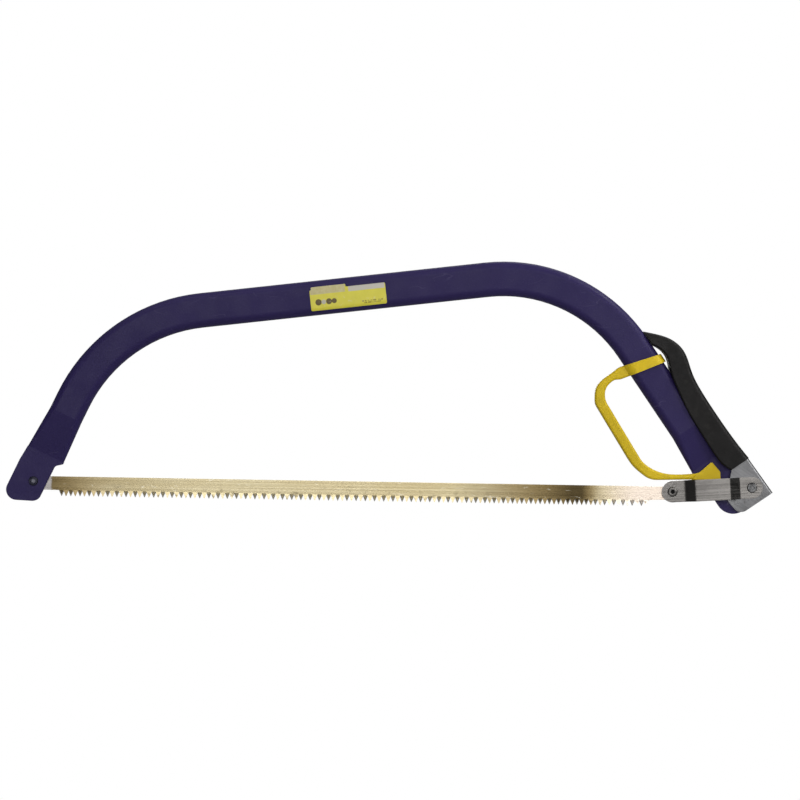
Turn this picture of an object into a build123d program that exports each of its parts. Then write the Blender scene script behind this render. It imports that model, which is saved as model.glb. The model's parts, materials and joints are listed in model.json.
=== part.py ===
from build123d import *
import os
from math import cos, hypot, radians, sin

os.makedirs("parts", exist_ok=True)

# A bow saw with an oval tube frame, a screwed-on blade and an over-centre tension lever.
# X runs along the blade from the toe to the grip, Z is up, Y is the thickness of the saw.
# The origin is the middle of the hand grip, on the axis of the rear leg of the frame.

# ---- driving dimensions (mm) ----
blade_pin_spacing = 607.0  # between the two blade holes of a 24 inch blade
blade_line_z = -71.0  # height of the two blade holes
toe_pin_x = -612.5
leg_slope = 55.2  # degrees from the blade line down to the rear leg
fulcrum_drop = 91.3  # along the rear leg, from the grip centre to the lever's fulcrum
bow_front = (-540.0, 83.2)  # corner of the frame above the toe
bow_rear_height = 168.6  # along the rear leg, from the grip centre to the rear corner
bow_front_radius = 153.6
bow_rear_radius = 148.0

tube_depth = 33.0
tube_width = 16.0
tube_corner = 7.4
tube_wall = 1.2
flat_width = 4.8  # thickness of the flattened tube ends
heel_depth = 38.8
heel_radius = 16.1
toe_depth = 37.6
toe_offset = -0.7  # the flattened toe is set a little to the outside

blade_thickness = 0.9
blade_back = 4.7  # above the line through the blade holes
tooth_root = -8.3
tooth_tip = -14.0
tooth_pitch = 4.375
tooth_count = 128
first_tooth = 24.5

strap_thickness = 2.0
strap_half_height = 10.2
strap_blade_gap = 0.8  # half the space between the straps at the blade
strap_tube_gap = 8.6  # half the space between the straps beside the frame
strap_lever_gap = 5.05  # half the space between the straps at the lever

cheek_inner = 2.9
cheek_outer = 4.7
web_thickness = 1.8
lever_back = 32.4  # outer edge of the lever at the grip, from the axis of the rear leg
lever_heel = 33.5  # and at its lower end
lever_foot = -108.8  # lower end of the lever, along the rear leg

fulcrum_pin_radius = 3.0
fulcrum_bush_radius = 4.4
link_rivet_radius = 2.4
toe_pin_radius = 3.2
heel_screw_radius = 2.0
running = 0.05  # radial clearance where a pin turns
pressed = 0.02  # radial clearance where a pin is pressed in


# ---- planes and pivots ----
def unit(dx, dz):
    length = hypot(dx, dz)
    return dx / length, dz / length


def side_plane(x, z, across):
    """A plane seen from the front, with its X axis along across and its Y axis a quarter turn up."""
    return Plane(origin=(x, 0, z), x_dir=(across[0], 0, across[1]), z_dir=(0, -1, 0))


side = Plane.XZ
leg_across = (sin(radians(leg_slope)), cos(radians(leg_slope)))
leg = side_plane(0, 0, leg_across)
bow_rear = (-bow_rear_height * leg_across[1], bow_rear_height * leg_across[0])

toe_up = unit(bow_front[0] - toe_pin_x, bow_front[1] - blade_line_z)
toe = side_plane(toe_pin_x, blade_line_z, (toe_up[1], -toe_up[0]))
heel_hole_x = toe_pin_x + blade_pin_spacing
blade_plane = side_plane(toe_pin_x, blade_line_z, (1, 0))

fulcrum = (0.0, -fulcrum_drop)  # in the plane of the leg
link_rivet_at = (19.4, -fulcrum_drop - 2.3)  # in the plane of the leg
link_rivet_point = leg.from_local_coords((link_rivet_at[0], link_rivet_at[1], 0))
link_along = unit(link_rivet_point.X - heel_hole_x, link_rivet_point.Z - blade_line_z)
link_length = hypot(link_rivet_point.X - heel_hole_x, link_rivet_point.Z - blade_line_z)
link = side_plane(heel_hole_x, blade_line_z, link_along)


def leg_section(height, offset=0.0):
    """The plane square to the rear leg at a height above the grip centre."""
    place = leg.from_local_coords((offset, height, 0))
    up = (-leg_across[1], 0, leg_across[0])
    return Plane(origin=place, x_dir=(leg_across[0], 0, leg_across[1]), z_dir=up)


def toe_section(height, offset=0.0):
    """The plane square to the front leg at a height above the toe pin."""
    place = toe.from_local_coords((offset, height, 0))
    return Plane(origin=place, x_dir=(toe_up[1], 0, -toe_up[0]), z_dir=(toe_up[0], 0, toe_up[1]))


# ---- frame tube: one oval tube, flattened at both ends ----
toe_shoulder = 70.0  # heights where the tube starts and ends its taper to the flat ends
toe_flat = 28.0
heel_shoulder = -14.0
heel_flat = -50.0


def tube_oval(margin, mode=Mode.ADD):
    """The tube's outer section, larger by margin on every side."""
    RectangleRounded(tube_depth + 2 * margin, tube_width + 2 * margin, tube_corner + margin, mode=mode)


def tube_body(inset):
    """The tube, smaller by inset on every side, with its flattened ends."""
    start = toe.from_local_coords((0, toe_shoulder, 0))
    end = leg.from_local_coords((0, heel_shoulder, 0))
    with BuildPart() as body:
        with BuildLine(side) as bow:
            FilletPolyline(
                (start.X, start.Z),
                bow_front,
                bow_rear,
                (end.X, end.Z),
                radius=[bow_front_radius, bow_rear_radius],
            )
        with BuildSketch(toe_section(toe_shoulder)):
            tube_oval(-inset)
        sweep(path=bow.line)
        with BuildSketch(toe_section(toe_shoulder)) as toe_top:
            tube_oval(-inset)
        with BuildSketch(toe_section(toe_flat, toe_offset)) as toe_bottom:
            RectangleRounded(toe_depth - 2 * inset, flat_width - 2 * inset, flat_width / 2 - inset - 0.1)
        loft(sections=[toe_top.sketch, toe_bottom.sketch])
        with BuildSketch(leg_section(heel_shoulder)) as heel_top:
            tube_oval(-inset)
        with BuildSketch(leg_section(heel_flat)) as heel_bottom:
            RectangleRounded(heel_depth - 2 * inset, flat_width - 2 * inset, flat_width / 2 - inset - 0.1)
        loft(sections=[heel_top.sketch, heel_bottom.sketch])
    return body.part


tube_outer = tube_body(0)
tube_inner = tube_body(tube_wall)

toe_left = toe_offset - toe_depth / 2
toe_right = toe_offset + toe_depth / 2
toe_heel = -20.8  # outer edge of the plate below the pressed shoulder
toe_mouth = 12.0  # inner edge of the toe where it is cut back for the blade
heel_half = heel_depth / 2

with BuildPart() as frame_tube:
    add(tube_outer)
    with BuildSketch(toe):
        with BuildLine():
            FilletPolyline(
                (toe_left, toe_flat),
                (toe_heel, 13.0),
                (toe_heel, -29.3),
                (toe_mouth, -15.6),
                (toe_mouth, 21.4),
                (toe_right, 26.2),
                (toe_right, toe_flat),
                radius=[20, 10, 8, 4, 1.5],
            )
            Line((toe_right, toe_flat), (toe_left, toe_flat))
        make_face()
    extrude(amount=flat_width / 2, both=True)
    with BuildSketch(leg):
        with BuildLine():
            Polyline(
                (-heel_half, heel_flat),
                (-heel_half, heel_flat - 10),
                (-heel_radius, heel_flat - 29),
                (-heel_radius, fulcrum[1]),
                (heel_radius, fulcrum[1]),
                (heel_radius, heel_flat - 29),
                (heel_half, heel_flat - 10),
                (heel_half, heel_flat),
                close=True,
            )
        make_face()
        with Locations(fulcrum):
            Circle(heel_radius)
    extrude(amount=flat_width / 2, both=True)
    add(tube_inner, mode=Mode.SUBTRACT)
    with BuildSketch(toe):
        with Locations(((toe_left + tube_wall + toe_right - tube_wall) / 2, toe_flat - 40)):
            Rectangle(toe_depth - 2 * tube_wall, 80)
    extrude(amount=flat_width / 2 - tube_wall, both=True, mode=Mode.SUBTRACT)
    with BuildSketch(leg):
        with Locations((0, heel_flat - 40)):
            Rectangle(heel_depth - 2 * tube_wall, 80)
    extrude(amount=flat_width / 2 - tube_wall, both=True, mode=Mode.SUBTRACT)
    with BuildSketch(toe):
        Circle(toe_pin_radius + pressed)
    extrude(amount=flat_width, both=True, mode=Mode.SUBTRACT)
    with BuildSketch(leg):
        with Locations(fulcrum):
            Circle(fulcrum_bush_radius + pressed)
    extrude(amount=flat_width, both=True, mode=Mode.SUBTRACT)
frame_tube.part.label = "frame_tube"
export_step(frame_tube.part, "parts/frame_tube.step")


def riveted_pin(plane, at, shank_radius, head_radius, head_from, head_height, dimple):
    """A pin across the saw with a low domed head, dimpled in the middle, at each end."""
    with BuildPart() as pin:
        with BuildSketch(plane):
            with Locations(at):
                Circle(shank_radius)
        extrude(amount=head_from)
        with BuildSketch(plane.offset(head_from)):
            with Locations(at):
                Circle(head_radius)
        extrude(amount=head_height, taper=30)
        with BuildSketch(plane.offset(head_from + head_height)):
            with Locations(at):
                Circle(dimple)
        extrude(amount=-head_height / 2, taper=25, mode=Mode.SUBTRACT)
        mirror(about=Plane.XZ)
    return pin.part


# ---- toe pin: riveted through the flattened toe, and the blade hooks on it ----
toe_pin_body = riveted_pin(toe, (0, 0), toe_pin_radius, 4.5, flat_width / 2, 0.9, 1.7)

with BuildPart() as toe_pin:
    add(toe_pin_body)
toe_pin.part.label = "toe_pin"
export_step(toe_pin.part, "parts/toe_pin.step")

# ---- blade: narrow toe end, toothed edge, and a ring that hides between the straps ----
heel_ring_radius = 8.8
heel_hole_radius = 6.3  # clears the heel screw at every position of the open linkage
narrow_edge = -8.2  # lower edge of the blade's narrow end
last_tooth = first_tooth + tooth_count * tooth_pitch

tooth_line = []
for tooth in range(tooth_count):
    tooth_start = first_tooth + tooth * tooth_pitch
    tooth_line.append((tooth_start, tooth_root))
    tooth_line.append((tooth_start + 0.45 * tooth_pitch, tooth_tip))
    tooth_line.append((tooth_start + 0.55 * tooth_pitch, tooth_tip))

with BuildPart() as blade:
    with BuildSketch(blade_plane):
        with BuildLine():
            Polyline(
                (0, blade_back),
                (0, narrow_edge),
                *tooth_line,
                (last_tooth, tooth_root),
                (blade_pin_spacing - 10, -7.6),
                (blade_pin_spacing, -7.6),
                (blade_pin_spacing, blade_back),
                close=True,
            )
        make_face()
        with Locations((0, (blade_back + narrow_edge) / 2)):
            Circle((blade_back - narrow_edge) / 2)
        with Locations((blade_pin_spacing, 0)):
            Circle(heel_ring_radius)
            Circle(heel_hole_radius, mode=Mode.SUBTRACT)
        Circle(toe_pin_radius + running, mode=Mode.SUBTRACT)
    extrude(amount=blade_thickness / 2, both=True)
blade.part.label = "blade"
export_step(blade.part, "parts/blade.step")

# ---- link: two straps from the blade to the lever, bent outwards round the frame ----
strap_bend_start = 12.4  # distances along the link from the heel screw
strap_bend_end = 21.0
lever_bend_start = 54.0
lever_bend_end = 63.7
strap_bend_radius = 4.5
strap_end = link_length + strap_half_height + 1
strap_profile = Plane(
    origin=(heel_hole_x, 0, blade_line_z),
    x_dir=(link_along[0], 0, link_along[1]),
    z_dir=(-link_along[1], 0, link_along[0]),
)

for hand, name in ((-1, "link_strap_front"), (1, "link_strap_back")):
    with BuildPart() as strap:
        with BuildSketch(strap_profile):
            with BuildLine():
                FilletPolyline(
                    (-strap_half_height - 1, hand * (strap_blade_gap + strap_thickness / 2)),
                    (strap_bend_start, hand * (strap_blade_gap + strap_thickness / 2)),
                    (strap_bend_end, hand * (strap_tube_gap + strap_thickness / 2)),
                    (lever_bend_start, hand * (strap_tube_gap + strap_thickness / 2)),
                    (lever_bend_end, hand * (strap_lever_gap + strap_thickness / 2)),
                    (strap_end, hand * (strap_lever_gap + strap_thickness / 2)),
                    radius=strap_bend_radius,
                )
            trace(line_width=strap_thickness)
        extrude(amount=strap_half_height + 1, both=True)
        with BuildSketch(link):
            with Locations((link_length / 2, 0)):
                SlotCenterToCenter(link_length, 2 * strap_half_height)
        extrude(amount=2 * tube_width, both=True, mode=Mode.INTERSECT)
        with BuildSketch(link):
            Circle(heel_screw_radius + running)
            with Locations((link_length, 0)):
                Circle(link_rivet_radius + running)
        extrude(amount=2 * tube_width, both=True, mode=Mode.SUBTRACT)
    strap.part.label = name
    export_step(strap.part, f"parts/{name}.step")

# ---- heel screw and nut: clamp the two straps either side of the blade ----
strap_face = strap_blade_gap + strap_thickness
screw_head_radius = 4.75
screw_head_height = 2.6
nut_height = 3.2

with BuildPart() as heel_screw:
    with BuildSketch(link.offset(strap_face)):
        Circle(screw_head_radius)
    extrude(amount=screw_head_height)
    fillet(edges().filter_by(GeomType.CIRCLE).sort_by(Axis.Y)[0], radius=1.6)
    with BuildSketch(link.offset(strap_face + screw_head_height)):
        RegularPolygon(radius=2.3, side_count=6)
    extrude(amount=-1.8, mode=Mode.SUBTRACT)
    with BuildSketch(link.offset(strap_face)):
        Circle(heel_screw_radius)
    extrude(amount=-(2 * strap_face + nut_height + 1.2))
    chamfer(edges().filter_by(GeomType.CIRCLE).sort_by(Axis.Y)[-1], length=0.4)
heel_screw.part.label = "heel_screw"
export_step(heel_screw.part, "parts/heel_screw.step")

with BuildPart() as heel_nut:
    with BuildSketch(link.offset(-strap_face)):
        RegularPolygon(radius=4.0, side_count=6, major_radius=False)
        Circle(heel_screw_radius + pressed, mode=Mode.SUBTRACT)
    extrude(amount=-nut_height)
    with BuildSketch(link.offset(-strap_face)):
        Circle(4.35)
    extrude(amount=-nut_height, taper=-12, mode=Mode.INTERSECT)
heel_nut.part.label = "heel_nut"
export_step(heel_nut.part, "parts/heel_nut.step")

# ---- fulcrum: a bush pressed into the flattened heel, and the lever's pin that turns in it ----
with BuildPart() as fulcrum_bush:
    with BuildSketch(leg):
        with Locations(fulcrum):
            Circle(fulcrum_bush_radius)
            Circle(fulcrum_pin_radius + running, mode=Mode.SUBTRACT)
    extrude(amount=flat_width / 2 + 0.2, both=True)
fulcrum_bush.part.label = "fulcrum_bush"
export_step(fulcrum_bush.part, "parts/fulcrum_bush.step")

rivet_face = strap_lever_gap + strap_thickness + 0.1
fulcrum_pin_body = riveted_pin(leg, fulcrum, fulcrum_pin_radius, 4.0, cheek_outer, 0.5, 1.6)
link_rivet_body = riveted_pin(leg, link_rivet_at, link_rivet_radius, 4.8, rivet_face, 1.3, 2.2)

with BuildPart() as fulcrum_pin:
    add(fulcrum_pin_body)
fulcrum_pin.part.label = "fulcrum_pin"
export_step(fulcrum_pin.part, "parts/fulcrum_pin.step")

with BuildPart() as link_rivet:
    add(link_rivet_body)
link_rivet.part.label = "link_rivet"
export_step(link_rivet.part, "parts/link_rivet.step")

# ---- lever channel: folded steel cheeks with a web along the back and a tang up into the grip ----
grip_end = -68.5  # lower end of the grip, along the rear leg
channel_top = -67.5
channel_shoulder = 14.5  # inner edge of the cheeks where they enter the grip
tang_inner = 20.8
tang_outer = 29.5
tang_top = 42.0
foot_corner = (3.0, -100.2)
foot_corner_radius = 8.6
pivot_cheek_radius = 6.2
fold_radius = 2.8


def channel_outline(margin=0.0):
    """The lever channel seen from the front, as a sketch in the plane of the leg."""
    with BuildSketch(leg) as outline:
        with Locations(fulcrum):
            Circle(pivot_cheek_radius + margin)
        with Locations(foot_corner):
            Circle(foot_corner_radius + margin)
        with BuildLine():
            Polyline(
                (channel_shoulder - margin, channel_top + margin),
                (lever_back + margin, channel_top + margin),
                (lever_heel + margin, lever_foot - margin),
                (foot_corner[0], lever_foot - margin),
                close=True,
            )
        make_face()
        make_hull()
        with Locations(((tang_inner + tang_outer) / 2, (tang_top + channel_top) / 2)):
            Rectangle(tang_outer - tang_inner + 2 * margin, tang_top - channel_top + 2 * margin)
    return outline.sketch


channel_face = channel_outline()
grip_socket = channel_outline(0.1)

with BuildPart() as lever_channel:
    extrude(channel_face, amount=cheek_outer, both=True)
    fold_edges = edges().filter_by(lambda edge: 40 < edge.length < 44 and abs(edge.center().Y) > 4)
    fillet(fold_edges, radius=fold_radius)
    with BuildSketch(leg):
        with BuildLine():
            Polyline(
                (-20, lever_foot - 1),
                (lever_heel - web_thickness, lever_foot - 1),
                (lever_back - web_thickness, channel_top - 3),
                (tang_outer - web_thickness, channel_top),
                (tang_outer - web_thickness, tang_top + 10),
                (-20, tang_top + 10),
                close=True,
            )
        make_face()
    extrude(amount=cheek_inner, both=True, mode=Mode.SUBTRACT)
    with BuildSketch(leg):
        with Locations(fulcrum):
            Circle(fulcrum_pin_radius + pressed)
        with Locations(link_rivet_at):
            Circle(link_rivet_radius + pressed)
    extrude(amount=2 * cheek_outer, both=True, mode=Mode.SUBTRACT)
lever_channel.part.label = "lever_channel"
export_step(lever_channel.part, "parts/lever_channel.step")

# ---- lever grip: moulded over the tang, with a pocket that closes over the back of the leg ----
grip_half_width = 11.5
pocket_half_width = 8.5
pocket_depth = 16.8  # inner edge of the grip's tail, just clear of the tube

with BuildPart() as lever_grip:
    with BuildSketch(leg):
        with BuildLine():
            Spline(
                (pocket_depth, 86.6),
                (24.6, 78.6),
                (34.4, 65.5),
                (38.0, 50.5),
                (33.2, 29.5),
                (30.5, 6.0),
                (30.2, -20.0),
                (31.0, -48.0),
                (lever_back + 0.3, grip_end),
            )
            Polyline((lever_back + 0.3, grip_end), (12.0, grip_end))
            Spline(
                (12.0, grip_end),
                (8.4, -60.0),
                (7.2, -42.0),
                (7.6, -22.0),
                (9.0, 2.0),
                (12.0, 22.0),
                (17.2, 43.0),
                (20.6, 51.5),
                (21.3, 58.5),
                (19.3, 66.0),
                (pocket_depth, 70.5),
            )
            Line((pocket_depth, 70.5), (pocket_depth, 86.6))
        make_face()
    extrude(amount=2 * grip_half_width, both=True)
    with BuildSketch(Plane(origin=(0, 0, 0), x_dir=(0, 1, 0), z_dir=(leg_across[0], 0, leg_across[1]))):
        with BuildLine():
            Spline(
                (6.0, 90.0),
                (8.8, 68.0),
                (10.6, 48.0),
                (grip_half_width, 18.0),
                (11.0, -30.0),
                (10.2, grip_end),
            )
            Polyline((10.2, grip_end), (0, grip_end), (0, 90.0), (6.0, 90.0))
        make_face()
        mirror(about=Plane.YZ)
    extrude(amount=60, mode=Mode.INTERSECT)
    long_edges = edges().filter_by(lambda edge: edge.length > 100 and abs(edge.center().Y) > 1)
    fillet(long_edges.sort_by(Edge.length)[2:], radius=4.5)
    long_edges = edges().filter_by(lambda edge: edge.length > 100 and abs(edge.center().Y) > 9)
    fillet(long_edges.sort_by(lambda edge: edge.center().X)[:2], radius=1.6)
    with BuildSketch(leg):
        with BuildLine():
            Polyline(
                (-5, 100),
                (pocket_depth, 100),
                (pocket_depth, heel_shoulder + 2),
                (20.0, heel_flat),
                (20.0, -80),
                (-5, -80),
                close=True,
            )
        make_face()
    extrude(amount=pocket_half_width, both=True, mode=Mode.SUBTRACT)
    extrude(grip_socket, amount=cheek_outer + 0.1, both=True, mode=Mode.SUBTRACT)
lever_grip.part.label = "lever_grip"
export_step(lever_grip.part, "parts/lever_grip.step")

# ---- knuckle guard: a collar on the leg, a bar round the fingers and a saddle on the heel ----
guard_width = 11.0
guard_edge_radius = 2.2
collar_wall = 2.3
saddle_wall = 2.2
fit_gap = 0.1  # between the moulded guard and the painted tube
collar_foot = 39.5  # along the leg, below the collar
bar_slope = unit(-28.7, 46.0)  # direction of the straight part of the bar
bar_slope_down = (-bar_slope[0], -bar_slope[1])


def guard_collar():
    """A band round the oval tube, a little larger than it, deeper on the side of the bar."""
    with BuildPart() as collar:
        with BuildSketch(leg_section(collar_foot)):
            tube_oval(collar_wall)
            tube_oval(fit_gap, mode=Mode.SUBTRACT)
        extrude(amount=40)
        with BuildSketch(leg):
            with BuildLine():
                Polyline((-24.0, 60.1), (-24.0, 72.0), (22.0, 58.8), (22.0, 50.4), close=True)
            make_face()
        extrude(amount=tube_width, both=True, mode=Mode.INTERSECT)
    return collar.part


collar = guard_collar()

with BuildPart() as knuckle_guard:
    with BuildSketch(side):
        with BuildLine():
            Polyline((-44.6, 39.6), (-51.0, 48.8), (-57.0, 46.8))
            Spline(
                (-57.0, 46.8),
                (-64.5, 41.3),
                (-74.0, 34.0),
                (-79.6, 26.5),
                (-80.8, 18.0),
                (-79.0, 8.6),
                tangents=[(-0.9, -0.44), bar_slope_down],
            )
            Line((-79.0, 8.6), (-50.3, -37.4))
            Spline(
                (-50.3, -37.4),
                (-43.1, -47.4),
                (-34.0, -55.2),
                (-20.0, -60.1),
                tangents=[bar_slope_down, (1.0, 0.03)],
            )
            Polyline((-20.0, -60.1), (14.0, -59.0), (17.5, -53.3))
            Spline(
                (17.5, -53.3),
                (-2.0, -54.6),
                (-14.0, -53.6),
                (-26.0, -49.2),
                (-37.0, -39.6),
                tangents=[(-1.0, -0.08), bar_slope],
            )
            Line((-37.0, -39.6), (-68.7, 11.2))
            Spline(
                (-68.7, 11.2),
                (-71.2, 19.5),
                (-69.0, 28.2),
                (-63.5, 33.4),
                (-56.5, 34.8),
                tangents=[bar_slope, (1.0, 0.1)],
            )
            Line((-56.5, 34.8), (-44.6, 39.6))
        make_face()
    extrude(amount=guard_width / 2, both=True)
    fillet(edges().filter_by(lambda edge: abs(edge.center().Y) > 4), radius=guard_edge_radius)
    with BuildSketch(side):
        with BuildLine():
            FilletPolyline(
                (10.0, -55.0),
                (19.5, -52.4),
                (31.1, -42.0),
                (39.3, -51.3),
                (39.6, -58.5),
                (10.0, -59.1),
                radius=[3.0, 1.6, 2.5, 0.8],
            )
            Line((10.0, -59.1), (10.0, -55.0))
        make_face()
    extrude(amount=flat_width / 2 + fit_gap + saddle_wall, both=True)
    with BuildSketch(leg):
        with Locations((heel_half, heel_flat)):
            Rectangle(4 * heel_half + 2 * fit_gap, 80)
    extrude(amount=flat_width / 2 + fit_gap, both=True, mode=Mode.SUBTRACT)
    with BuildSketch(leg_section(collar_foot)):
        tube_oval(fit_gap)
    extrude(amount=40, mode=Mode.SUBTRACT)
    add(collar)
knuckle_guard.part.label = "knuckle_guard"
export_step(knuckle_guard.part, "parts/knuckle_guard.step")

# ---- label: a thin sheet on the front of the top bar, following the tube's rounded edges ----
bar_along = unit(bow_rear[0] - bow_front[0], bow_rear[1] - bow_front[1])
label_middle = 225.0  # along the top bar, from the front corner
label_length = 72.0
label_height = 20.0
label_drop = 2.4  # the label sits a little below the middle of the tube
label_sheet = 0.2
label_place = (bow_front[0] + bar_along[0] * label_middle, bow_front[1] + bar_along[1] * label_middle)
label_plane = side_plane(label_place[0], label_place[1], bar_along)
label_end_plane = Plane(
    origin=label_plane.from_local_coords((-label_length, 0, 0)),
    x_dir=(-bar_along[1], 0, bar_along[0]),
    z_dir=(bar_along[0], 0, bar_along[1]),
)

with BuildPart() as label_front:
    with BuildSketch(label_end_plane):
        tube_oval(label_sheet)
        tube_oval(0, mode=Mode.SUBTRACT)
    extrude(amount=2 * label_length)
    with BuildSketch(label_plane):
        with Locations((0, -label_drop)):
            RectangleRounded(label_length, label_height, 1.5)
        with Locations((-label_length / 2 + 18.0, label_height / 2 - label_drop + 0.6)):
            RectangleRounded(33.0, 4.0, 1.2)
    extrude(amount=tube_width, mode=Mode.INTERSECT)
label_front.part.label = "label_front"
export_step(label_front.part, "parts/label_front.step")
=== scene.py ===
import json
from math import atan2, cos, pi, radians, sin

import bpy
from mathutils import Matrix, Vector
from mathutils.geometry import tessellate_polygon


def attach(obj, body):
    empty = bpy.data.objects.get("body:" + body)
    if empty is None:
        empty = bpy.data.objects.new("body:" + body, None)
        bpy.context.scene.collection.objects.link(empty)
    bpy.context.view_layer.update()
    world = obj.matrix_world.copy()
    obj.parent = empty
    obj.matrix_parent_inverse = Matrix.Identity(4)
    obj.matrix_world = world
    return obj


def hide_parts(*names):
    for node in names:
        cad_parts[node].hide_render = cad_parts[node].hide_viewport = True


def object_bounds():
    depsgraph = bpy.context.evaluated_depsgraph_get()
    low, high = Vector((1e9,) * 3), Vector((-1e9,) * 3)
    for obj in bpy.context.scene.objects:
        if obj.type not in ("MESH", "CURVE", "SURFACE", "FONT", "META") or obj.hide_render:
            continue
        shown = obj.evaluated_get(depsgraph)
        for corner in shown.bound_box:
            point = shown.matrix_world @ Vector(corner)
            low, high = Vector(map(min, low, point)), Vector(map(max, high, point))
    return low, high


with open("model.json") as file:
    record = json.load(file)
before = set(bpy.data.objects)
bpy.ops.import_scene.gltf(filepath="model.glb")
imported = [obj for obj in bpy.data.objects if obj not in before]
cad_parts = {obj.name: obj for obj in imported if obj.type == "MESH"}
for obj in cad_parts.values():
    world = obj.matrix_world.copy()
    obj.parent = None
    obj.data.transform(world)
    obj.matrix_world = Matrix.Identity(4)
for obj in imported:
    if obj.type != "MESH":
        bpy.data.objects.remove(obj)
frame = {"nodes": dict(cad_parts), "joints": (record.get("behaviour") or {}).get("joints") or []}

cad_low, cad_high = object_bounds()
MM = 0.001
BLADE_SPAN = 607 * MM  # between the blade's two holes
scene = bpy.context.scene

# ---- places of the joints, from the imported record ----
JOINT = {joint["name"]: Vector(joint["pos_m"]) for joint in frame["joints"]}
TOE = JOINT["blade_hinge"]
FULCRUM = JOINT["lever_hinge"]
RIVET = JOINT["link_hinge"]
HEEL = TOE + Vector((BLADE_SPAN, 0, 0))
LEG_SLOPE = radians(55.2)
LINK_TURN = atan2(RIVET.z - HEEL.z, RIVET.x - HEEL.x)


# ---- material helpers ----
class Graph:
    """A small builder for one procedural material or world."""

    def __init__(self, owner):
        self.tree = owner.node_tree
        self.tree.nodes.clear()

    def node(self, kind, inputs=None, **settings):
        made = self.tree.nodes.new(kind)
        for key, value in settings.items():
            setattr(made, key, value)
        for key, value in (inputs or {}).items():
            self.feed(made.inputs[key], value)
        return made

    def feed(self, socket, value):
        if isinstance(value, bpy.types.NodeSocket):
            self.tree.links.new(value, socket)
        elif isinstance(value, tuple) and len(value) == 3 and socket.type == "RGBA":
            socket.default_value = (*value, 1)
        else:
            socket.default_value = value

    def place(self, turn=0.0, scale=(1, 1, 1), origin=(0, 0, 0)):
        """Coordinates in metres, turned about Y, seen from origin and stretched."""
        where = self.node("ShaderNodeTexCoord").outputs["Object"]
        moved = self.vector_math("SUBTRACT", where, tuple(origin))
        turned = self.node("ShaderNodeVectorRotate", {"Vector": moved, "Angle": turn}, rotation_type="Y_AXIS")
        return self.vector_math("MULTIPLY", turned.outputs[0], scale)

    def vector_math(self, operation, a, b):
        return self.node("ShaderNodeVectorMath", {0: a, 1: b}, operation=operation).outputs[0]

    def noise(self, vector, scale, detail=3.0, roughness=0.55):
        inputs = {"Vector": vector, "Scale": scale, "Detail": detail, "Roughness": roughness}
        return self.node("ShaderNodeTexNoise", inputs).outputs[0]

    def cells(self, vector, scale):
        return self.node("ShaderNodeTexVoronoi", {"Vector": vector, "Scale": scale}).outputs[0]

    def math(self, operation, a, b=0.0, clamp=False):
        return self.node("ShaderNodeMath", {0: a, 1: b}, operation=operation, use_clamp=clamp).outputs[0]

    def span(self, value, low, high, out_low=0.0, out_high=1.0, smooth=True):
        kind = "SMOOTHSTEP" if smooth else "LINEAR"
        inputs = {"Value": value, "From Min": low, "From Max": high, "To Min": out_low, "To Max": out_high}
        return self.node("ShaderNodeMapRange", inputs, interpolation_type=kind).outputs[0]

    def mix(self, factor, a, b, blend="MIX"):
        made = self.node("ShaderNodeMix", data_type="RGBA", blend_type=blend)
        for socket, value in zip([s for s in made.inputs if s.enabled], (factor, a, b)):
            self.feed(socket, value)
        return [s for s in made.outputs if s.enabled][0]

    def split(self, vector):
        made = self.node("ShaderNodeSeparateXYZ", {0: vector})
        return made.outputs[0], made.outputs[1], made.outputs[2]

    def distance(self, point):
        where = self.node("ShaderNodeTexCoord").outputs["Object"]
        inputs = {0: where, 1: tuple(point)}
        return self.node("ShaderNodeVectorMath", inputs, operation="DISTANCE").outputs["Value"]

    def bump(self, height, depth, normal=None):
        inputs = {"Height": height, "Distance": depth, "Strength": 1.0}
        if normal is not None:
            inputs["Normal"] = normal
        return self.node("ShaderNodeBump", inputs).outputs[0]

    def surface(self, **inputs):
        sockets = {key.replace("_", " "): value for key, value in inputs.items()}
        shader = self.node("ShaderNodeBsdfPrincipled", sockets)
        self.node("ShaderNodeOutputMaterial", {"Surface": shader.outputs[0]})


def material(name):
    made = bpy.data.materials.new(name)
    made.use_nodes = True
    return made, Graph(made)


def scratches(g, vector, scale, thin=0.012):
    """Sparse fine lines: where a warped noise crosses its middle, broken up by a second noise."""
    crossing = g.math("ABSOLUTE", g.math("SUBTRACT", g.noise(vector, scale, 2.0, 0.4), 0.5))
    line = g.span(crossing, thin, 0.0)
    keep = g.span(g.noise(vector, scale * 1.7, 1.0), 0.56, 0.66)
    return g.math("MULTIPLY", line, keep)


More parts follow.
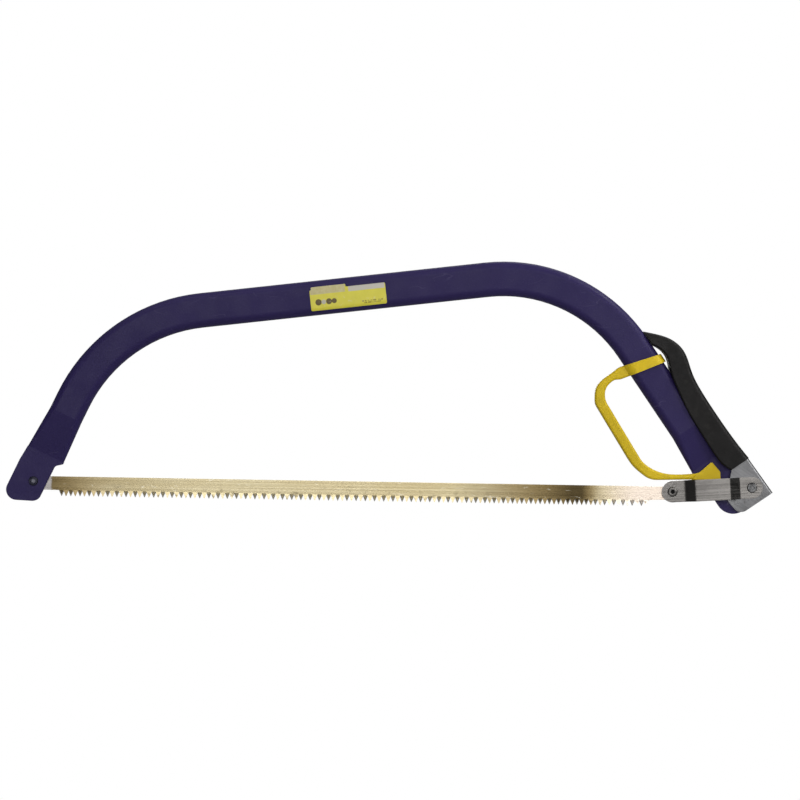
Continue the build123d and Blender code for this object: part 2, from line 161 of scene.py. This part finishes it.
def powder_coat():
    mat, g = material("powder_coat")
    place = g.place()
    cloud = g.noise(place, 22.0, 4.0)
    colour = g.mix(cloud, (0.0160, 0.0108, 0.0575), (0.0226, 0.0152, 0.0745))
    speck = g.span(g.noise(place, 1700.0, 1.0), 0.66, 0.74)
    colour = g.mix(g.math("MULTIPLY", speck, 0.35), colour, (0.075, 0.065, 0.150))
    scuff = scratches(g, g.place(turn=0.1, scale=(1, 1, 2.6)), 24.0)
    colour = g.mix(g.math("MULTIPLY", scuff, 0.22), colour, (0.10, 0.09, 0.16))
    rubbed = g.span(g.distance(FULCRUM), 0.0115, 0.0050)
    bare = g.math("MULTIPLY", rubbed, g.span(g.noise(place, 620.0, 4.0), 0.42, 0.60))
    colour = g.mix(g.math("MULTIPLY", bare, 0.75), colour, (0.13, 0.13, 0.14))
    dull = g.span(g.noise(place, 60.0, 3.0), 0.3, 0.7, 0.36, 0.50)
    dull = g.math("ADD", dull, g.math("MULTIPLY", scuff, 0.15))
    orange_peel = g.bump(g.noise(place, 640.0, 2.0, 0.45), 0.00010)
    normal = g.bump(g.math("SUBTRACT", 1.0, scuff), 0.00004, orange_peel)
    g.surface(
        Base_Color=colour,
        Roughness=dull,
        Normal=normal,
        Metallic=g.math("MULTIPLY", bare, 0.7),
        Specular_IOR_Level=0.14,
    )
    return mat


STAIN = (0.05, 0.04, 0.03)  # small dark spots in the plating
SCALE_AND_DARK_REFLECTION = (0.015, 0.015, 0.015)  # dark in the straps' bends: partly scale, mostly a painted dark reflection
BEND_SOFT = 0.6 * MM  # half the soft edge of a band of scale and painted dark reflection


def brushed(name, dark, light, turn, rough, grain=(6, 60, 700), patch=30.0, worn=(), bends=(), core=None):
    """Rolled or ground steel: grain along one direction, cloudy plating, scratches.

    Worn spots are polished, bends are bands across the link with dark scale and a painted dark reflection,
    and a core is the middle of a pin's or a screw's head, given a painted shade or a painted highlight.
    """
    mat, g = material(name)
    place = g.place()
    along = g.place(turn=turn, scale=grain)
    lines = g.noise(along, 1.0, 4.0, 0.6)
    cloud = g.noise(place, patch, 4.0)
    tone = g.math("ADD", g.math("MULTIPLY", lines, 0.45), g.math("MULTIPLY", cloud, 0.55))
    colour = g.mix(g.span(tone, 0.32, 0.68), dark, light)
    spots = g.math("MULTIPLY", g.span(g.noise(place, 330.0, 5.0), 0.62, 0.74), 0.45)
    colour = g.mix(spots, colour, STAIN)
    scratch = scratches(g, g.place(turn=turn + 0.4, scale=(1, 1, 3)), 90.0, 0.02)
    colour = g.mix(g.math("MULTIPLY", scratch, 0.5), colour, light)
    dull = g.math("ADD", g.span(lines, 0.2, 0.8, rough - 0.07, rough + 0.09), g.math("MULTIPLY", spots, 0.3))
    for point, reach in worn:
        ring = g.math("MULTIPLY", g.span(g.distance(point), reach, reach * 0.6), g.span(cloud, 0.35, 0.6))
        colour = g.mix(g.math("MULTIPLY", ring, 0.35), colour, light)
        dull = g.math("SUBTRACT", dull, g.math("MULTIPLY", ring, 0.08))
    # each bend: a band across the link darkened with scale and a painted dark reflection
    for low, high in bends:
        from_heel, _, _ = g.split(g.place(turn=LINK_TURN, origin=HEEL))
        after = g.span(from_heel, low - BEND_SOFT, low + BEND_SOFT)
        before = g.span(from_heel, high + BEND_SOFT, high - BEND_SOFT)
        colour = g.mix(g.math("MULTIPLY", g.math("MULTIPLY", after, before), 0.80), colour, SCALE_AND_DARK_REFLECTION)
    if core:
        point, reach, tone = core
        colour = g.mix(g.span(g.distance(point), reach * 1.06, reach * 0.97), colour, tone)
    normal = g.bump(lines, 0.00002)
    normal = g.bump(g.math("SUBTRACT", 1.0, scratch), 0.00002, normal)
    g.surface(Base_Color=colour, Metallic=0.97, Roughness=dull, Normal=normal)
    return mat


def blade_steel(name="blade_steel", fresh=False):
    """Straw-tinted strip steel, brushed along its length; the filed bevels of the teeth are greyer.

    Places along the blade are in metres of x, from the toe hole at -0.607 to the heel hole at 0.
    """
    mat, g = material(name)
    place = g.place()
    x, _, z = g.split(place)
    lines = g.noise(g.place(scale=(3, 1300, 1300)), 1.0, 5.0, 0.65)
    cloud = g.noise(g.place(scale=(1, 1, 4)), 9.0, 3.0)
    if fresh:
        colour = g.mix(lines, (0.34, 0.32, 0.28), (0.72, 0.70, 0.64))
        dull = g.span(lines, 0.2, 0.8, 0.22, 0.36)
    else:
        straw = g.mix(g.span(lines, 0.25, 0.75), (0.375, 0.314, 0.187), (0.590, 0.520, 0.352))
        warm = g.mix(g.span(cloud, 0.35, 0.65), (0.93, 0.90, 0.80), (1.0, 1.0, 0.97))
        straw = g.mix(1.0, straw, warm, "MULTIPLY")
        # Painted reflection along the blade: darker and warmer towards the toe, a dark dip near x -0.1 and a
        # pale heel end.
        drift = g.math("ADD", x, g.math("MULTIPLY", g.math("SUBTRACT", cloud, 0.5), 0.02))
        toe_end = g.span(drift, -0.602, -0.525, 0.24, 0.80)
        toe_painted_shade = g.math("ADD", toe_end, g.span(drift, -0.55, -0.44, 0.0, 0.20))
        # painted dark reflection: falls to x -0.100 and rises again by x -0.066
        dark = g.span(drift, -0.215, -0.100, 1.0, 0.13, smooth=False)
        patch = g.math("MAXIMUM", dark, g.span(drift, -0.097, -0.066))
        heel_painted_highlight = g.span(drift, -0.085, -0.035)
        shade = g.math("MULTIPLY", toe_painted_shade, patch)
        grey = g.node("ShaderNodeCombineColor", {0: shade, 1: shade, 2: shade}).outputs[0]
        colour = g.mix(1.0, straw, grey, "MULTIPLY")
        tint = g.mix(g.span(shade, 0.15, 0.95), (1.0, 0.84, 0.58), (1.0, 1.0, 1.0))
        colour = g.mix(1.0, colour, tint, "MULTIPLY")
        # painted highlight: the pale heel end
        colour = g.mix(g.math("MULTIPLY", heel_painted_highlight, 0.8), colour, (0.73, 0.63, 0.56))
        bare = g.span(g.math("ADD", x, g.math("MULTIPLY", lines, 0.002)), TOE.x + 0.0190, TOE.x + 0.0170)
        colour = g.mix(bare, colour, (0.30, 0.28, 0.27))
        resin = g.math("MULTIPLY", g.span(z, -0.071, -0.080), g.span(g.noise(place, 130.0, 5.0), 0.52, 0.70))
        colour = g.mix(g.math("MULTIPLY", resin, 0.30), colour, (0.12, 0.09, 0.05))
        dull = g.math("ADD", g.span(lines, 0.2, 0.8, 0.24, 0.36), g.math("MULTIPLY", resin, 0.25))
    scratch = scratches(g, g.place(scale=(0.6, 1, 2.2)), 70.0, 0.02)
    colour = g.mix(g.math("MULTIPLY", scratch, 0.4), colour, (0.75, 0.72, 0.62))
    normal = g.bump(lines, 0.00003)
    g.surface(Base_Color=colour, Metallic=0.95, Roughness=dull, Normal=normal)
    return mat


def moulded(name, dark, light, dull_low, dull_high, pebble, seam, dirt, gloss):
    """Moulded plastic: fine pebbled skin, a parting line round the middle, and blotches of dirt."""
    mat, g = material(name)
    place = g.place()
    _, y, _ = g.split(place)
    cloud = g.noise(place, 26.0, 4.0)
    colour = g.mix(g.span(cloud, 0.3, 0.7), dark, light)
    grime = g.math("MULTIPLY", g.span(g.noise(place, 95.0, 6.0, 0.65), 0.52, 0.72), 0.5)
    colour = g.mix(grime, colour, dirt)
    scuff = scratches(g, place, 60.0, 0.02)
    colour = g.mix(g.math("MULTIPLY", scuff, 0.35), colour, light)
    skin = g.cells(place, pebble)
    parting = g.span(g.math("ABSOLUTE", y), 0.00030, 0.00012)
    normal = g.bump(skin, 0.00005)
    normal = g.bump(parting, seam, normal)
    dull = g.span(g.noise(place, 140.0, 3.0), 0.3, 0.7, dull_low, dull_high)
    dull = g.math("ADD", dull, g.math("MULTIPLY", grime, 0.2))
    g.surface(Base_Color=colour, Roughness=dull, Normal=normal, Specular_IOR_Level=gloss)
    return mat


BAR_ALONG = Vector((443.8, 0, 55.2)).normalized()  # the top bar, from the toe's corner to the heel's
BAR_TURN = atan2(BAR_ALONG.z, BAR_ALONG.x)
BAR_START = Vector((-540 * MM, 0, 83.2 * MM))
LABEL = BAR_START + BAR_ALONG * 225 * MM  # the label's middle
DISC_ROW = -4.6 * MM  # v of the row of discs
PRINT_EDGE, DISC_EDGE = 0.12 * MM, 0.15 * MM  # half the soft edge of a printed shape


def box_mask(g, u, v, centre, half):
    """1 inside a rectangle of the label, 0 outside."""
    masks = []
    for place, middle, reach in zip((u, v), centre, half):
        far = g.math("ABSOLUTE", g.math("SUBTRACT", place, middle))
        masks.append(g.span(far, reach + PRINT_EDGE, reach - PRINT_EDGE))
    return g.math("MULTIPLY", *masks)


def disc_mask(g, u, v, centre, radius):
    """1 inside a disc of the label, 0 outside."""
    du = g.math("SUBTRACT", u, centre[0])
    dv = g.math("SUBTRACT", v, centre[1])
    far = g.math("SQRT", g.math("ADD", g.math("MULTIPLY", du, du), g.math("MULTIPLY", dv, dv)))
    return g.span(far, radius + DISC_EDGE, radius - DISC_EDGE)


def label_print():
    """A yellow vinyl sheet with plain printed shapes and no lettering.

    u runs along the label and v up it, in metres from its middle.
    """
    mat, g = material("label_print")
    place = g.place(turn=BAR_TURN, origin=LABEL)
    u, _, v = g.split(place)
    cloud = g.noise(place, 120.0, 3.0)
    yellow = g.mix(cloud, (0.515, 0.465, 0.034), (0.645, 0.585, 0.066))
    ink = (0.060, 0.035, 0.010)
    pale = g.mix(g.noise(place, 420.0, 4.0), (0.34, 0.27, 0.14), (0.52, 0.49, 0.34))
    panel = box_mask(g, u, v, (-0.0190, 0.0070), (0.0165, 0.0040))
    colour = g.mix(g.math("MULTIPLY", panel, 0.8), yellow, pale)
    colour = g.mix(box_mask(g, u, v, (0.0180, 0.0052), (0.0172, 0.0024)), colour, (0.465, 0.440, 0.385))
    for middle, radius in ((-0.0285, 0.0030), (-0.0185, 0.0028), (-0.0135, 0.0024)):
        disc = disc_mask(g, u, v, (middle, DISC_ROW), radius)
        colour = g.mix(g.math("MULTIPLY", disc, 0.94), colour, ink)
    colour = g.mix(disc_mask(g, u, v, (-0.0235, DISC_ROW), 0.0022), colour, (0.40, 0.37, 0.29))
    dashes = g.span(g.noise(g.place(turn=BAR_TURN, origin=LABEL, scale=(1, 0, 0.2)), 900.0, 1.0), 0.44, 0.50)
    for row, reach in ((-0.0078, 0.0100), (-0.0094, 0.0080)):
        line = g.math("MULTIPLY", box_mask(g, u, v, (0.0225, row), (reach, 0.0006)), dashes)
        colour = g.mix(g.math("MULTIPLY", line, 0.7), colour, ink)
    wear = g.math("MULTIPLY", g.span(g.noise(place, 260.0, 5.0), 0.58, 0.72), 0.35)
    colour = g.mix(wear, colour, (0.55, 0.52, 0.38))
    dull = g.span(cloud, 0.3, 0.7, 0.28, 0.40)
    normal = g.bump(g.noise(place, 420.0, 2.0), 0.00003)
    g.surface(Base_Color=colour, Roughness=dull, Normal=normal, Specular_IOR_Level=0.3)
    return mat


# ---- materials on the CAD nodes ----
SCREW_SOCKET_SHADE = (HEEL, 5.2 * MM, (0.005, 0.005, 0.005))  # painted shade of the socket in the middle of the screw head: middle, reach and tone
# painted highlight in the middle of the toe pin's dark head: middle, reach and tone
TOE_PIN_HIGHLIGHT = (TOE, 3.8 * MM, (0.10, 0.10, 0.12))
SCREW_GRAIN = (500, 500, 500)
PIN_GRAIN = (400, 400, 400)
LEVER_TURN = -(pi / 2 - LEG_SLOPE)
MATERIAL = {
    "frame_tube": powder_coat(),
    "knuckle_guard": moulded(
        "guard_nylon",
        (0.49, 0.350, 0.005),
        (0.60, 0.428, 0.009),
        0.34,
        0.48,
        1500.0,
        0.00016,
        (0.36, 0.265, 0.03),
        0.18,
    ),
    "lever_grip": moulded(
        "grip_plastic",
        (0.0030, 0.0026, 0.0025),
        (0.0057, 0.0050, 0.0048),
        0.40,
        0.55,
        1150.0,
        0.0002,
        (0.022, 0.021, 0.019),
        0.16,
    ),
    "label_front": label_print(),
    "lever_channel": brushed(
        "lever_steel",
        (0.100, 0.100, 0.103),
        (0.190, 0.190, 0.195),
        LEVER_TURN,
        0.34,
        worn=((FULCRUM, 0.014), (RIVET, 0.014)),
    ),
    "screw": brushed(
        "screw_steel",
        (0.06, 0.058, 0.055),
        (0.21, 0.20, 0.19),
        0.0,
        0.30,
        SCREW_GRAIN,
        160.0,
        # the head's near-black middle is painted shade
        core=SCREW_SOCKET_SHADE,
    ),
    "toe_pin": brushed(
        "toe_pin_steel",
        (0.008, 0.008, 0.014),
        (0.030, 0.030, 0.042),
        0.3,
        0.3,
        PIN_GRAIN,
        210.0,
        # the head's paler middle is a painted highlight
        core=TOE_PIN_HIGHLIGHT,
    ),
    "pin": brushed("pin_steel", (0.030, 0.030, 0.031), (0.150, 0.150, 0.152), 0.3, 0.24, PIN_GRAIN, 210.0),
    "strap": brushed(
        "strap_steel",
        (0.145, 0.137, 0.130),
        (0.228, 0.217, 0.206),
        0.07,
        0.22,
        worn=((HEEL, 0.012), (RIVET, 0.012)),
        # the bends' near-black bands: partly scale, mostly a painted dark reflection
        bends=((0.0124, 0.0210), (0.0540, 0.0637)),
    ),
    "blade": blade_steel(),
    "blade_filed": blade_steel("blade_filed", fresh=True),
}
LOOK = {
    "frame_tube": "frame_tube",
    "knuckle_guard": "knuckle_guard",
    "lever_grip": "lever_grip",
    "label_front": "label_front",
    "lever_channel": "lever_channel",
    "toe_pin": "toe_pin",
    "fulcrum_bush": "pin",
    "fulcrum_pin": "pin",
    "link_rivet": "pin",
    "heel_screw": "screw",
    "heel_nut": "screw",
    "link_strap_front": "strap",
    "link_strap_back": "strap",
}
for node, look in LOOK.items():
    for slot in frame["nodes"][node].material_slots:
        slot.material = MATERIAL[look]


# ---- blade: set and filed teeth on a strip with rounded ends ----
THICK = 0.9 * MM
BACK, ROOT, TIP = 4.7 * MM, -8.3 * MM, -14.0 * MM
PITCH, TEETH, FIRST = 4.375 * MM, 128, 24.5 * MM
SET = 0.42 * MM  # how far a tooth's point leans out of the strip
FILE = 0.90 * MM  # how far the slanted file cut moves from one side to the other
TOE_HOLE, TOE_END, TOE_END_DROP = 3.25 * MM, 6.45 * MM, -1.75 * MM
HEEL_HOLE, HEEL_END = 6.3 * MM, 8.8 * MM
RING_LOW = -7.6 * MM  # where the strip's lower edge meets the heel ring
TOE_STEPS, RING_STEPS = 16, 28  # segments of the rounded ends
TIP_HALF = 0.22 * MM  # half the flat at a tooth's point


def arc(centre, radius, start, end, count):
    step = (end - start) / count
    angles = [start + step * k for k in range(count + 1)]
    return [(centre[0] + radius * cos(angle), centre[1] + radius * sin(angle)) for angle in angles]


def blade_outline(side):
    """The strip without its teeth, seen from the front, for the face on this side (-1 front, 1 back)."""
    points = arc((0, TOE_END_DROP), TOE_END, pi / 2, 3 * pi / 2, TOE_STEPS)
    for k in range(TEETH + 1):
        lean = side * FILE / 2 * (1 if k % 2 else -1)
        points.append((FIRST + k * PITCH + lean, ROOT))
    reach = (HEEL_END**2 - RING_LOW**2) ** 0.5
    points.append((BLADE_SPAN - reach, RING_LOW))
    start = atan2(RING_LOW, -reach) + 2 * pi
    end = atan2(BACK, -((HEEL_END**2 - BACK**2) ** 0.5)) + 2 * pi
    points += arc((BLADE_SPAN, 0), HEEL_END, start, end, RING_STEPS)[1:]
    return points


def blade_mesh():
    verts, faces, filed = [], [], []

    def vertex(x, y, z):
        verts.append(TOE + Vector((x, y, z)))
        return len(verts) - 1

    sides = {}
    for side in (-1, 1):
        outline = blade_outline(side)
        holes = [arc((0, 0), TOE_HOLE, 0, 2 * pi, 24)[:-1], arc((BLADE_SPAN, 0), HEEL_HOLE, 0, 2 * pi, 32)[:-1]]
        loops = [outline, *holes]
        ids = [[vertex(x, side * THICK / 2, z) for x, z in loop] for loop in loops]
        flat = [i for loop in ids for i in loop]
        for tri in tessellate_polygon([[Vector((x, z, 0)) for x, z in loop] for loop in loops]):
            faces.append([flat[i] for i in (tri if side < 0 else tri[::-1])])
            filed.append(0)
        sides[side] = ids
    first_root = TOE_STEPS + 1  # place of the first tooth's root in the outline
    tips = {}
    for side in (-1, 1):
        for k in range(TEETH):
            outward = -1 if k % 2 else 1  # the face that the point leans to
            near = side == outward
            left, right = sides[side][0][first_root + k], sides[side][0][first_root + k + 1]
            middle = FIRST + (k + 0.5) * PITCH
            drop = TIP if near else TIP + (ROOT - TIP) * FILE / PITCH * 1.6
            lean = side * THICK / 2 * (1 if near else 0.8) + outward * SET * (1 if near else 0.85)
            tips[side, k] = [vertex(middle - TIP_HALF, lean, drop), vertex(middle + TIP_HALF, lean, drop)]
            quad = [left, tips[side, k][0], tips[side, k][1], right]
            faces.append(quad if side < 0 else quad[::-1])
            filed.append(0)
    front, back = sides[-1], sides[1]
    count = len(front[0])
    for k in range(count):
        after = (k + 1) % count
        tooth = k - first_root
        if 0 <= tooth < TEETH:
            a, b = tips[-1, tooth], tips[1, tooth]
            chain_front = [front[0][k], *a, front[0][after]]
            chain_back = [back[0][k], *b, back[0][after]]
            for n in range(3):
                faces.append([chain_front[n + 1], chain_front[n], chain_back[n], chain_back[n + 1]])
                filed.append(1)
        else:
            faces.append([front[0][after], front[0][k], back[0][k], back[0][after]])
            filed.append(0)
    for front_hole, back_hole in zip(front[1:], back[1:]):
        for k in range(len(front_hole)):
            after = (k + 1) % len(front_hole)
            faces.append([front_hole[k], front_hole[after], back_hole[after], back_hole[k]])
            filed.append(0)
    mesh = bpy.data.meshes.new("blade_toothed")
    mesh.from_pydata(verts, [], faces)
    mesh.materials.append(MATERIAL["blade"])
    mesh.materials.append(MATERIAL["blade_filed"])
    for polygon, index in zip(mesh.polygons, filed):
        polygon.material_index = index
    mesh.validate()
    mesh.update()
    return mesh


blade = bpy.data.objects.new("blade_toothed", blade_mesh())
scene.collection.objects.link(blade)
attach(blade, "blade")
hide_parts("blade")

# ---- floor and light ----
FLOOR = cad_low.z - 0.10  # low enough for the blade and the lever when the lever is open


def plane(name, size, location, mat):
    mesh = bpy.data.meshes.new(name)
    half = size / 2
    corners = [(-half, -half, 0), (half, -half, 0), (half, half, 0), (-half, half, 0)]
    mesh.from_pydata(corners, [], [(0, 1, 2, 3)])
    mesh.materials.append(mat)
    made = bpy.data.objects.new(name, mesh)
    made.location = location
    scene.collection.objects.link(made)


def floor_white():
    """Paper that is white to the camera and a dull grey in the saw's reflections."""
    mat, g = material("floor_white")
    seen = g.node("ShaderNodeLightPath").outputs["Is Camera Ray"]
    dull = g.node("ShaderNodeBsdfDiffuse", {"Color": (0.42, 0.42, 0.42)})
    white = g.node("ShaderNodeEmission", {"Color": (1.0, 1.0, 1.0), "Strength": 1.0})
    both = g.node("ShaderNodeMixShader", {0: seen, 1: dull.outputs[0], 2: white.outputs[0]})
    g.node("ShaderNodeOutputMaterial", {"Surface": both.outputs[0]})
    return mat


plane("floor", 60.0, (0, 0, FLOOR), floor_white())


def area_light(name, location, target, size, power, colour=(1, 1, 1)):
    data = bpy.data.lights.new(name, "AREA")
    data.shape = "RECTANGLE"
    data.size, data.size_y = size
    data.energy = power
    data.color = colour
    made = bpy.data.objects.new(name, data)
    made.location = location
    made.rotation_mode = "QUATERNION"
    made.rotation_quaternion = (Vector(target) - Vector(location)).to_track_quat("-Z", "Y")
    scene.collection.objects.link(made)


MIDDLE = (cad_low + cad_high) / 2
area_light("key", MIDDLE + Vector((-0.7, -1.5, 2.3)), MIDDLE, (1.8, 0.8), 11.5, (1.0, 0.985, 0.96))
area_light("rim", MIDDLE + Vector((1.7, -0.5, 1.9)), MIDDLE, (0.8, 0.8), 24.0)
area_light("fill", MIDDLE + Vector((1.25, -0.85, 0.45)), MIDDLE + Vector((0.3, 0, -0.05)), (0.5, 0.5), 7.5)
area_light("back_key", MIDDLE + Vector((0.7, 1.5, 2.3)), MIDDLE, (1.8, 0.8), 11.5)

world = bpy.data.worlds.new("studio")
world.use_nodes = True
scene.world = world
studio = Graph(world)
direction = studio.node("ShaderNodeTexCoord").outputs["Generated"]
_, ahead, up = studio.split(direction)
soft_box = studio.span(studio.math("ABSOLUTE", ahead), 0.82, 0.97, 0.10, 3.3)
ceiling = studio.span(up, 0.40, 0.95, 0.0, 0.4)
light = studio.math("ADD", studio.math("ADD", soft_box, ceiling), 0.015)
seen = studio.node("ShaderNodeLightPath").outputs["Is Camera Ray"]
room = studio.node("ShaderNodeBackground", {"Color": (1.0, 1.0, 1.0), "Strength": light})
paper = studio.node("ShaderNodeBackground", {"Color": (1.0, 1.0, 1.0), "Strength": 1.0})
shown = studio.node("ShaderNodeMixShader", {0: seen, 1: room.outputs[0], 2: paper.outputs[0]})
studio.node("ShaderNodeOutputWorld", {"Surface": shown.outputs[0]})
scene.view_settings.view_transform = "Standard"

# ---- camera: long lens, level, square to the saw, rolled one degree ----
ROLL = radians(0.97)
LENS, SENSOR = 120.0, 36.0
FIELD = 0.7604  # width of the view at the saw, in metres
AIM = Vector((-0.2657, 0.0, 0.0117))
right = Vector((cos(ROLL), 0, sin(ROLL)))
up_axis = Vector((-sin(ROLL), 0, cos(ROLL)))
back_axis = Vector((0, -1, 0))
camera_data = bpy.data.cameras.new("camera")
camera_data.lens, camera_data.sensor_width = LENS, SENSOR
camera = bpy.data.objects.new("camera", camera_data)
turned = Matrix((right, up_axis, back_axis)).transposed().to_4x4()
camera.matrix_world = Matrix.Translation(AIM + back_axis * FIELD * LENS / SENSOR) @ turned
camera_data.clip_start, camera_data.clip_end = 0.1, 200.0
scene.collection.objects.link(camera)
scene.camera = camera

bpy.context.view_layer.update()
